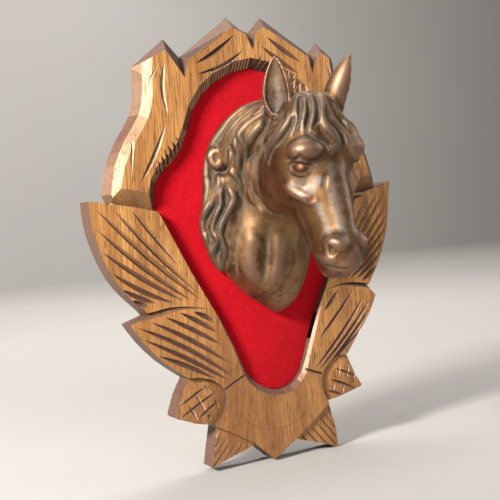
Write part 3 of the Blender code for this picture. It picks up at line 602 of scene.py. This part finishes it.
def sections(rings, name):
    """A closed body through rings of equally many points."""
    shape = bmesh.new()
    rows = [[shape.verts.new(spot) for spot in ring] for ring in rings]
    count = len(rows[0])
    for low_row, high_row in zip(rows, rows[1:]):
        for i in range(count):
            j = (i + 1) % count
            shape.faces.new((low_row[i], low_row[j], high_row[j], high_row[i]))
    shape.faces.new(rows[0])
    shape.faces.new(rows[-1])
    bmesh.ops.recalc_face_normals(shape, faces=shape.faces)
    mesh = bpy.data.meshes.new(name)
    shape.to_mesh(mesh)
    shape.free()
    made = bpy.data.objects.new(name, mesh)
    bpy.context.scene.collection.objects.link(made)
    return made


def run_together(clay, name, voxel, smoothing):
    """Join pieces of clay into one skin."""
    only(clay[0])
    for piece in clay:
        piece.select_set(True)
    bpy.ops.object.join()
    made = bpy.context.object
    made.name = name
    skin = made.modifiers.new("one skin", "REMESH")
    skin.mode = "VOXEL"
    skin.voxel_size = voxel * MM
    bpy.ops.object.modifier_apply(modifier="one skin")
    soften = made.modifiers.new("soften", "SMOOTH")
    soften.factor = 0.5
    soften.iterations = smoothing
    bpy.ops.object.modifier_apply(modifier="soften")
    bpy.ops.object.transform_apply(location=True, rotation=True, scale=True)
    return made


print("clay helpers ready")

# %% [markdown]
# The skull is a row of sections from the poll to the chin, each between the line of the forehead and nose
# in front and the line of the cheek and jaw behind. The neck is an egg-shaped foot on the felt that
# narrows as it comes out.

# %% The big masses
SKULL = [((90.0, 81.0), (72.0, 79.0), 13.0), ((101.0, 74.0), (58.0, 73.0), 23.0),
         ((112.0, 61.0), (46.0, 60.0), 30.0), ((117.5, 46.0), (34.0, 47.0), 34.0),
         ((119.0, 30.0), (28.0, 31.0), 33.0), ((119.5, 16.0), (25.0, 13.0), 31.0),
         ((121.0, 2.0), (28.0, -5.0), 30.0), ((124.0, -12.0), (42.0, -19.0), 26.5),
         ((127.5, -25.0), (59.0, -31.0), 21.0), ((130.5, -36.0), (70.0, -43.0), 17.5),
         ((133.5, -46.0), (78.0, -55.0), 16.5), ((136.5, -54.0), (85.0, -66.0), 17.0),
         ((137.0, -62.0), (92.0, -74.0), 16.0), ((132.0, -70.0), (99.0, -78.5), 12.5),
         ((122.0, -76.0), (108.0, -80.0), 6.0)]
rings = []
for front, back, width in SKULL:
    front, back = Vector(front), Vector(back)
    ring = []
    for i in range(36):
        turn = 2.0 * math.pi * i / 36
        t = (1.0 - math.cos(turn)) / 2.0
        spot = front.lerp(back, t)
        reach = width * math.sin(math.pi * t ** 0.8) ** 0.6 if 0.0 < t < 1.0 else 0.0
        ring.append(on_head(math.copysign(reach, math.sin(turn)), spot.x, spot.y))
    rings.append(ring)
masses = [sections(rings, "skull")]

NECK_FOOT = [(14.0, -117.5), (33.0, -107.0), (48.0, -82.0), (56.0, -52.0), (57.0, -20.0), (54.0, 15.0),
             (47.0, 42.0), (34.0, 64.0), (12.0, 77.0), (-15.0, 66.0), (-34.0, 50.0), (-46.0, 30.0),
             (-50.0, 5.0), (-55.0, -24.0), (-53.0, -48.0), (-42.0, -69.0), (-19.0, -95.0)]
NECK_LEVELS = [(-8.0, 1.0, 1.0, 1.0), (-2.0, 0.99, 0.99, 1.0), (6.0, 0.92, 0.95, 0.98),
               (14.0, 0.78, 0.87, 0.97), (20.0, 0.62, 0.75, 0.96), (27.0, 0.48, 0.55, 0.95),
               (40.0, 0.40, 0.28, 0.95), (55.0, 0.37, 0.12, 0.96), (76.0, 0.30, 0.02, 0.94)]
middle = Vector((4.0, -5.0))
rings = []
for out, wide, below, above in NECK_LEVELS:
    ring = []
    for spot in smooth_run(NECK_FOOT + NECK_FOOT[:1], 3)[:-1]:
        offset = spot - middle
        drop = below if offset.y < 0.0 else above
        ring.append(from_face(middle.x + offset.x * wide, out, middle.y + offset.y * drop))
    rings.append(ring)
masses.append(sections(rings, "neck"))
masses += ball(-18.0, 36.0, 47.0, (15.0, 22.0, 22.0), sides=(1,))
masses += ball(-19.0, 26.0, 16.0, (15.0, 18.0, 34.0), sides=(1,))
masses += ball(16.0, 60.0, 12.0, (14.0, 35.0, 34.0))
masses += ball(21.0, 104.5, 29.0, (15.5, 16.5, 11.5), sides=(-1,))
masses += ball(21.0, 104.5, 30.0, (16.5, 18.0, 15.0), sides=(1,))
masses += ball(18.5, 104.0, 41.0, (15.0, 15.0, 14.0), sides=(1,))
masses += ball(15.0, 103.0, 41.0, (12.0, 12.5, 13.0), sides=(-1,))
masses += ball(9.5, 122.0, -50.0, (10.5, 14.0, 10.5))
masses += ball(11.0, 116.0, -61.0, (8.5, 13.0, 8.5))
masses += roll([(24.0, 76.0, 5.0, 4.0), (27.0, 90.0, -3.5, 5.0), (23.5, 103.0, -10.0, 5.2),
                (17.0, 112.0, -14.0, 4.0)], sides=(-1, 1))
masses += ball(0.0, 122.0, -66.0, (14.0, 14.0, 10.5), sides=(1,))
masses += ball(0.0, 106.0, -73.5, (11.5, 12.0, 7.0), sides=(1,))
MANE = [[(-8, 60, 74, 7), (-18, 33, 69, 8.5), (-31, 13, 58, 9), (-41, 3, 42, 8.5), (-47, -3, 20, 7.5),
         (-49, -5, -2, 7)],
        [(-16, 58, 66, 8), (-28, 36, 57, 9), (-36, 19, 44, 9), (-40, 10, 28, 8)],
        [(-19, 55, 57, 8), (-29, 42, 49, 9), (-34, 31, 37, 9), (-35, 24, 20, 8), (-33, 20, 2, 7)],
        [(-48, 2, 14, 7), (-52, 0, -6, 7), (-52, -2, -24, 7), (-52, -3, -44, 6.5), (-46, -4, -60, 5.5),
         (-43, -4, -72, 3)],
        [(-40, 12, 14, 7.5), (-44, 9, -6, 7.5), (-45, 6, -24, 7.5), (-45, 3, -42, 7), (-40, 0, -58, 5)],
        [(-33, 20, 4, 7), (-36, 16, -10, 7), (-38, 12, -26, 6.5)]]
for route in MANE:
    masses += roll(route, own_axes=False)
head = run_together(masses, "head_in_clay", 1.8, 14)
print("points after the masses:", len(head.data.vertices))

# %% [markdown]
# Ears are rows of sections too. A smaller body, moved towards the ear's opening, is cut out of each with a
# Boolean before the ear joins the head. The far one is thicker, as its outline in the picture is wider.

# %% Ears, eyeballs and curl
EYEBALL = (23.4, 100.6, 14.3)
EAR_WIDTH, HOLLOW_WIDTH, HOLLOW_SHIFT = 13.5, 10.6, 0.85
CURL = [(-46.0 + 3.5 * math.cos(math.pi * k / 6), 10.5 + 2.5 * math.cos(math.pi * k / 6),
         31.0 + 6.0 * math.sin(math.pi * k / 6), 4.5) for k in range(13)]
EAR_LAW = ((0.0, 0.62), (0.15, 0.86), (0.35, 1.0), (0.55, 0.93), (0.75, 0.68), (0.9, 0.38), (1.0, 0.1))
HOLLOW_LAW = ((0.04, 0.12), (0.15, 0.55), *EAR_LAW[2:])
EARS = {"near": ((-24.5, 76.0, 58.0), (-31.0, 84.5, 110.0), (-0.74, 0.66, 0.05), 7.5),
        "far": ((24.0, 84.0, 59.0), (34.0, 106.0, 110.0), (0.85, 0.50, -0.05), 12.0)}


def ear_body(name, foot, tip, faces_to, width, depth, shift, law):
    """An ear, or its hollow: the law gives the share of the full width along its length."""
    foot, tip, faces_to = Vector(foot), Vector(tip), Vector(faces_to).normalized()
    axis = (tip - foot).normalized()
    faces_to = (faces_to - axis * faces_to.dot(axis)).normalized()
    side = axis.cross(faces_to)
    rings = []
    for t, share in smooth_run(law, 4):
        core = foot.lerp(tip, t) + faces_to * shift * share
        rings.append([on_head(*(core + (side * width * math.cos(math.pi * i / 10)
                                        + faces_to * depth * math.sin(math.pi * i / 10)) * share))
                      for i in range(20)])
    return sections(rings, name)


clay = [head]
for name, (foot, tip, faces_to, depth) in EARS.items():
    ear = ear_body(name + "_ear", foot, tip, faces_to, EAR_WIDTH, depth, 0.0, EAR_LAW)
    hollow = ear_body(name + "_ear_hollow", foot, tip, faces_to, HOLLOW_WIDTH, depth,
                      depth * HOLLOW_SHIFT, HOLLOW_LAW)
    only(ear)
    cut = ear.modifiers.new("hollow", "BOOLEAN")
    cut.object = hollow
    cut.solver = "EXACT"
    bpy.ops.object.modifier_apply(modifier="hollow")
    bpy.data.objects.remove(hollow)
    clay.append(ear)
clay += ball(*EYEBALL, (6.6, 8.6, 6.4))
clay += roll(CURL, own_axes=False)
head = run_together(clay, "head_in_clay", 1.1, 3)
print("points after the ears:", len(head.data.vertices))

# %% [markdown]
# Each stroke below is a line in the picture, with its half width and its height in millimetres: a height
# above zero raises the skin and one below zero presses it in. The line is laid on the skin by following
# the sight lines from the camera, and marks of the face are repeated on the head's other side.


# %% The sculptor's strokes
class Clay:
    """The head's points, and what the strokes do to them."""

    def __init__(self, made):
        self.made = made
        self.hair = np.zeros(len(made.data.vertices))
        self.read()

    def read(self):
        """Take the points and normals from the mesh, and a tree to find places on the skin."""
        mesh = self.made.data
        count = len(mesh.vertices)
        self.points = np.empty(count * 3)
        mesh.vertices.foreach_get("co", self.points)
        self.points = self.points.reshape(-1, 3)
        self.normals = np.empty(count * 3)
        mesh.vertices.foreach_get("normal", self.normals)
        self.normals = self.normals.reshape(-1, 3)
        self.tree = BVHTree.FromPolygons(self.points.tolist(), [p.vertices for p in mesh.polygons])

    def lay(self, line):
        """A line of the picture, laid on the skin."""
        hits = [self.tree.ray_cast(EYE, sight_line(*spot))[0] for spot in smooth_run(line, 4)]
        return [hit for hit in hits if hit is not None]

    def other_side(self, spots):
        """The same places on the head's other side."""
        return [self.tree.find_nearest(mirrored(spot))[0] for spot in spots]

    def press(self, spots, width, height, sharp, total, hair):
        """Add one stroke to the heights of the points near it."""
        line = np.array([tuple(s) for s in spots])
        width, height = width * MM, height * MM
        near = np.all((self.points > line.min(0) - width) & (self.points < line.max(0) + width), axis=1)
        chosen = np.nonzero(near)[0]
        if len(line) < 2 or not len(chosen):
            return
        start, step = line[:-1], np.diff(line, axis=0)
        length = np.linalg.norm(step, axis=1) + 1e-9
        run = np.concatenate([[0.0], np.cumsum(length)])
        away = self.points[chosen, None, :] - start[None]
        share = np.clip((away * step).sum(2) / length ** 2, 0.0, 1.0)
        gap = np.linalg.norm(away - share[..., None] * step, axis=2)
        best = gap.argmin(1)
        rows = np.arange(len(chosen))
        distance = gap[rows, best] / width
        along = (run[best] + share[rows, best] * length[best]) / run[-1]
        to_end = np.minimum(along, 1.0 - along)
        if hair:
            taper = 0.25 + 0.75 * np.clip(to_end / 0.22, 0.0, 1.0) ** 0.7
        else:
            near_end = np.clip(to_end / 0.35, 0.0, 1.0)
            taper = near_end ** 2 * (3.0 - 2.0 * near_end)
        body = np.clip(1.0 - distance ** 2, 0.0, 1.0) ** sharp * taper
        total[chosen] += body * height
        if hair:
            self.hair[chosen] = np.maximum(self.hair[chosen], np.clip(1.6 - 1.6 * distance, 0.0, 1.0))

    def layer(self, strokes, smoothing):
        """Lay a group of strokes, then move the points along the skin's normals."""
        total = np.zeros(len(self.points))
        for line, width, height, sharp, both, hair in strokes:
            spots = self.lay(line)
            if len(spots) < 2:
                print("a stroke misses the head:", line[0])
                continue
            self.press(spots, width, height, sharp, total, hair)
            if both:
                self.press(self.other_side(spots), width, height, sharp, total, hair)
        moved = self.points + self.normals * total[:, None]
        self.made.data.vertices.foreach_set("co", moved.ravel())
        self.made.data.update()
        if smoothing:
            soften = self.made.modifiers.new("soften", "SMOOTH")
            soften.iterations = smoothing
            soften.factor = 0.5
            only(self.made)
            bpy.ops.object.modifier_apply(modifier="soften")
        self.read()


def form(line, width, height, both=True):
    """A broad soft form of the face or neck."""
    return line, width, height, 2.0, both, False


def lock(line, width, height):
    """A strand of hair, round on top, with a crease along its foot."""
    return line, width * 1.15, height * 0.95, 1.0, False, True


def lid(line, width, height):
    """A raised eyelid."""
    return line, width, height, 1.0, True, False


def line_cut(line, width, depth, both=False, hair=False):
    """A crease that is pressed in."""
    return line, width, -depth, 1.3, both, hair


FORMS = [
    form([(288, 155), (296, 152), (305, 151), (314, 153)], 7.5, 0.8),
    form([(291, 180), (300, 183), (310, 180)], 5.0, -0.6),
    form([(281, 172), (287, 184), (296, 191), (306, 194), (314, 193)], 8.5, 1.1),
    form([(332, 168), (334, 190), (338, 208), (343, 226), (345, 238)], 7.5, 0.7),
    form([(324, 244), (333, 241), (341, 245), (346, 252)], 4.4, 1.0),
    form([(259, 214), (254, 236), (251, 260), (255, 294)], 15.0, 7.4, False),
    form([(278, 220), (278, 242), (276, 266), (270, 296)], 11.0, 6.2, False),
    form([(292, 206), (301, 218), (308, 235), (313, 250), (319, 262)], 4.0, 0.8),
]
LOCKS = [
    # Crest and mane from behind the near ear
    lock([(255, 102), (245, 107), (237, 113), (229, 121), (222, 131), (214, 142), (208, 153)], 5.0, 2.2),
    lock([(262, 104), (252, 111), (243, 117), (235, 125), (228, 136), (222, 147)], 4.2, 2.4),
    lock([(262, 112), (254, 119), (246, 125), (240, 133), (235, 142)], 3.8, 2.6),
    lock([(268, 120), (262, 124), (256, 131), (251, 140), (249, 150), (248, 165), (248, 183)], 4.0, 2.0),
    lock([(242, 131), (241, 138), (244, 146), (245, 155), (243, 163)], 3.2, 2.2),
    lock([(234, 138), (236, 146), (239, 153), (238, 163), (240, 172)], 3.2, 2.4),
    lock([(208, 154), (206, 165), (206, 178), (208, 190), (206, 202), (203, 212)], 4.0, 2.0),
    lock([(217, 172), (218, 182), (215, 192), (212, 203), (206, 212), (202, 221), (202, 231), (206, 241)],
         3.6, 3.0),
    lock([(222, 174), (222, 186), (220, 197), (221, 206), (217, 214), (214, 222), (213, 231), (217, 240),
          (214, 248), (211, 255), (214, 263)], 3.4, 2.8),
    lock([(229, 170), (235, 175), (240, 182), (242, 192)], 3.4, 2.6),
    lock([(226, 176), (229, 188), (234, 198), (231, 206), (226, 215), (222, 224), (220, 234), (223, 243),
          (225, 251), (223, 260), (222, 268)], 3.6, 3.2),
    # Forelock
    lock([(300, 94), (296, 104), (296, 114), (297, 123)], 3.2, 1.6),
    lock([(305, 98), (306, 108), (304, 118), (302, 129)], 3.4, 3.0),
    lock([(303, 92), (311, 97), (314, 106), (313, 117), (311, 127)], 3.4, 2.4),
    lock([(321, 93), (323, 104), (323, 115), (327, 126), (334, 135), (337, 143), (332, 150)], 4.6, 3.2),
    lock([(328, 106), (332, 117), (339, 126), (345, 134), (347, 144)], 3.0, 2.2),
    lock([(333, 102), (338, 111), (344, 119), (350, 126)], 3.6, 2.2),
    lock([(290, 113), (288, 122), (283, 130), (277, 138), (271, 147), (267, 160)], 3.6, 3.4),
    lock([(277, 121), (271, 128), (268, 135), (264, 145)], 3.0, 2.2),
]
CREASES = [
    line_cut([(300, 96), (300, 110), (299, 122), (293, 134)], 2.2, 1.6, hair=True),
    line_cut([(308, 99), (309, 112), (307, 122), (307, 131)], 2.2, 2.4, hair=True),
    line_cut([(315, 97), (318, 106), (318, 116), (314, 128)], 2.4, 2.2, hair=True),
    line_cut([(304, 131), (314, 137), (323, 143), (330, 151)], 2.4, 1.6, hair=True),
    line_cut([(327, 103), (327, 114), (331, 123), (339, 131), (344, 143)], 2.2, 2.0, hair=True),
    line_cut([(331, 104), (336, 115), (342, 122), (348, 128)], 2.0, 1.8, hair=True),
    line_cut([(294, 116), (291, 127), (285, 136), (277, 146)], 2.4, 1.8, hair=True),
    line_cut([(284, 121), (277, 130), (271, 138)], 2.0, 1.6, hair=True),
    line_cut([(281, 157), (286, 161), (294, 160), (300, 157), (307, 160), (315, 163)], 2.0, 0.9, True),
    line_cut([(299, 153), (300, 158)], 2.0, 1.0, True),
    line_cut([(290, 176), (298, 178), (306, 176)], 1.8, 0.8, True),
    line_cut([(326, 172), (325, 181), (323, 190)], 3.0, 0.9, True),
    line_cut([(304, 201), (311, 199.5), (316, 196)], 3.4, 0.7, True),
    line_cut([(322, 263), (331, 267), (342, 269), (354, 267)], 1.9, 1.2, True),
    line_cut([(316, 250), (318, 258), (322, 263)], 2.0, 0.9, True),
    line_cut([(249, 158), (249, 178), (253, 193), (261, 205), (271, 214), (282, 217)], 4.0, 1.2),
    line_cut([(260, 105), (249, 112), (241, 118), (234, 127), (227, 138), (220, 149)], 1.8, 1.2, hair=True),
    line_cut([(250, 105), (240, 111), (231, 120), (223, 132), (214, 145)], 1.5, 0.9, hair=True),
    line_cut([(264, 109), (253, 116), (245, 121), (238, 129), (231, 141)], 1.8, 1.4, hair=True),
    line_cut([(225, 192), (225, 203), (221, 214), (217, 224), (217, 233), (220, 243), (218, 255)],
             2.2, 1.8, hair=True),
    line_cut([(218, 196), (216, 206), (209, 215), (206, 225), (209, 236), (210, 246)], 2.0, 1.6, hair=True),
    line_cut([(229, 146), (232, 155), (231, 165), (226, 170)], 2.4, 1.6, hair=True),
    line_cut([(232, 178), (238, 187), (240, 198)], 2.0, 1.4, hair=True),
]
LIDS = [
    lid([(287, 165), (292, 161.5), (299, 160), (306, 161.5), (311, 165), (315, 170)], 2.0, 1.5),
    lid([(288, 166), (291, 171), (296, 174.5), (302, 175.5), (308, 173.5), (312, 170)], 1.8, 1.3),
    line_cut([(290, 166), (294, 170.5), (299, 172.5), (305, 171.8), (310, 168)], 1.3, 0.8, True),
    line_cut([(290, 164.5), (295, 162.8), (300, 162.2), (306, 163.8), (311, 167)], 1.3, 0.8, True),
]
NOSTRIL = [line_cut([(326, 249), (330, 250), (335, 256)], 4.8, 2.8, True),
           line_cut([(327, 249), (331, 251), (334, 255)], 2.6, 1.4, True)]
clay = Clay(head)
LAYERS = [(FORMS, 2), (LOCKS, 1), (CREASES, 1), (LIDS, 0), (NOSTRIL, 0)]
for strokes, smoothing in LAYERS:
    clay.layer(strokes, smoothing)
print("strokes laid:", sum(len(strokes) for strokes, _ in LAYERS))

# %% [markdown]
# The material needs to know what stands proud and what lies deep. The skin is compared with a copy of
# itself that is ironed smooth: where it stands above the ironed skin, hands rub it, and where it lies
# below, dirt and verdigris stay. It is done twice, a little and a lot, for fine and broad forms. The
# silver-grey places follow lines of the picture and have soft edges; they are partly worn metal and partly
# painted highlight.


# %% Relief
FINE, BROAD = (8, 0.22 * MM), (60, 1.1 * MM)
EYE_RADIUS = 8.4 * MM


def ironed(points, pairs, rounds):
    """The points after each has moved again and again to the middle of its neighbours."""
    count = len(points)
    share = np.bincount(pairs.ravel(), minlength=count)[:, None]
    for _ in range(rounds):
        total = np.stack([np.bincount(pairs[:, 0], points[pairs[:, 1], k], count)
                          + np.bincount(pairs[:, 1], points[pairs[:, 0], k], count)
                          for k in range(3)], axis=1)
        points = total / share
    return points


# Lines of silver grey: partly worn metal, partly painted highlight on planes that face the light, such as
# the bridge of the nose.
SILVER_AND_HIGHLIGHT_LINES = [([(332, 168), (334, 185), (337, 205), (342, 225), (345, 240)], 8.0),
            ([(290, 186), (300, 190), (310, 188), (318, 180)], 8.0),
            ([(318, 205), (325, 225), (330, 240)], 5.0),
            ([(276, 80), (278, 100), (280, 116)], 6.0),
            ([(300, 140), (312, 138), (320, 146)], 5.0)]
pairs = np.empty(len(head.data.edges) * 2, dtype=int)
head.data.edges.foreach_get("vertices", pairs)
pairs = pairs.reshape(-1, 2)
fine, broad = (((clay.points - ironed(clay.points, pairs, rounds)) * clay.normals).sum(1) / full
               for rounds, full in (FINE, BROAD))
relief_values = np.clip(0.65 * np.clip(fine, -1.2, 1.2) + 0.3 * np.clip(broad, -1.2, 1.2), -1.0, 1.0)
for side in (-1, 1):
    eye_middle = np.array(on_head(EYEBALL[0] * side, *EYEBALL[1:]))
    ball_part = np.linalg.norm(clay.points - eye_middle, axis=1) < EYE_RADIUS
    relief_values[ball_part] = np.minimum(relief_values[ball_part], -0.1)
silver_and_highlight_values = np.zeros(len(clay.points))
for line, width in SILVER_AND_HIGHLIGHT_LINES:
    for spots in (clay.lay(line), clay.other_side(clay.lay(line))):
        line_points = np.array([tuple(s) for s in spots])
        gap = np.linalg.norm(clay.points[:, None] - line_points[None], axis=2).min(1) / (width * MM)
        silver_and_highlight_values = np.maximum(silver_and_highlight_values, np.clip(1.0 - 0.6 * gap ** 2, 0.0, 1.0) ** 2)
for name, values in (("relief", relief_values), ("hair", clay.hair), ("silver", silver_and_highlight_values)):
    kept = head.data.attributes.new(name, "FLOAT", "POINT")
    kept.data.foreach_set("value", values)
print("relief from", round(float(relief_values.min()), 2), "to", round(float(relief_values.max()), 2))

# %% [markdown]
# The strokes can lift the skin a fraction of a millimetre past the solid's box, so the points are held
# inside it. That also keeps the foot of the neck flat on the felt.

# %% The finished head
flat = np.clip(clay.points, *(np.array(corner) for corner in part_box("horse_head")))
head.data.vertices.foreach_set("co", flat.ravel())
head.data.update()
head.name = "sculpted_horse_head"
head.data.materials.clear()
head.data.materials.append(bronze.material)
only(head)
bpy.ops.object.shade_smooth()
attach(head, "root")
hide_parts("horse_head")
print("head triangles:", sum(len(p.vertices) - 2 for p in head.data.polygons))

# %% [markdown]
# The studio has a small strong light high on the left, a weak one on the right that draws the far edges of
# the metal, a broad one in front, and one above that only lights the paper behind. The world stands for
# pale walls all round. It lights the plaque much less than it shows in the picture, which keeps the walls
# pale and the shadows deep. The paper is a plain pale grey.


# %% Lights
LOOK_AT = Vector((0.0, -0.03, -0.03))
WALLS_LIGHTING, WALLS_SEEN = 0.08, 0.5


def soft_light(name, place, size, power, tint, heading=None):
    """A square light that looks at the plaque, or along a heading."""
    lamp = bpy.data.lights.new(name, "AREA")
    lamp.energy = power
    lamp.size = size
    lamp.color = tint
    stand = bpy.data.objects.new(name, lamp)
    bpy.context.scene.collection.objects.link(stand)
    stand.location = place
    heading = Vector(heading) if heading else LOOK_AT - Vector(place)
    stand.rotation_euler = heading.to_track_quat("-Z", "Y").to_euler()


soft_light("key", (-1.42, -0.6, 0.73), 0.3, 66.0, (1.0, 0.97, 0.93))
soft_light("edge", (1.3, -0.5, 0.5), 0.9, 7.0, (1.0, 0.95, 0.9))
soft_light("front", (-0.2, -2.4, 1.1), 1.4, 16.0, (1.0, 0.98, 0.96))
soft_light("backdrop", (0.4, 0.7, 1.9), 1.6, 95.0, (1.0, 0.98, 0.96), heading=(0.3, 2.2, -2.0))
world = bpy.data.worlds.new("pale_walls")
bpy.context.scene.world = world
world.use_nodes = True
pale = world.node_tree.nodes["Background"]
pale.inputs["Color"].default_value = (0.86, 0.85, 0.84, 1.0)
seen = world.node_tree.nodes.new("ShaderNodeLightPath")
strength = world.node_tree.nodes.new("ShaderNodeMapRange")
world.node_tree.links.new(seen.outputs["Is Camera Ray"], strength.inputs["Value"])
strength.inputs["To Min"].default_value = WALLS_LIGHTING
strength.inputs["To Max"].default_value = WALLS_SEEN
world.node_tree.links.new(strength.outputs["Result"], pale.inputs["Strength"])
studio = Finish("studio_paper")
cloudy = studio.noise(studio.place(), 0.8, 2.0)
studio.feed(Base_Color=studio.blend(cloudy.ramp(0.3, 0.7), (0.34, 0.325, 0.305), (0.37, 0.355, 0.335)))
studio.fix(Roughness=0.95)
paper.data.materials.append(studio.material)
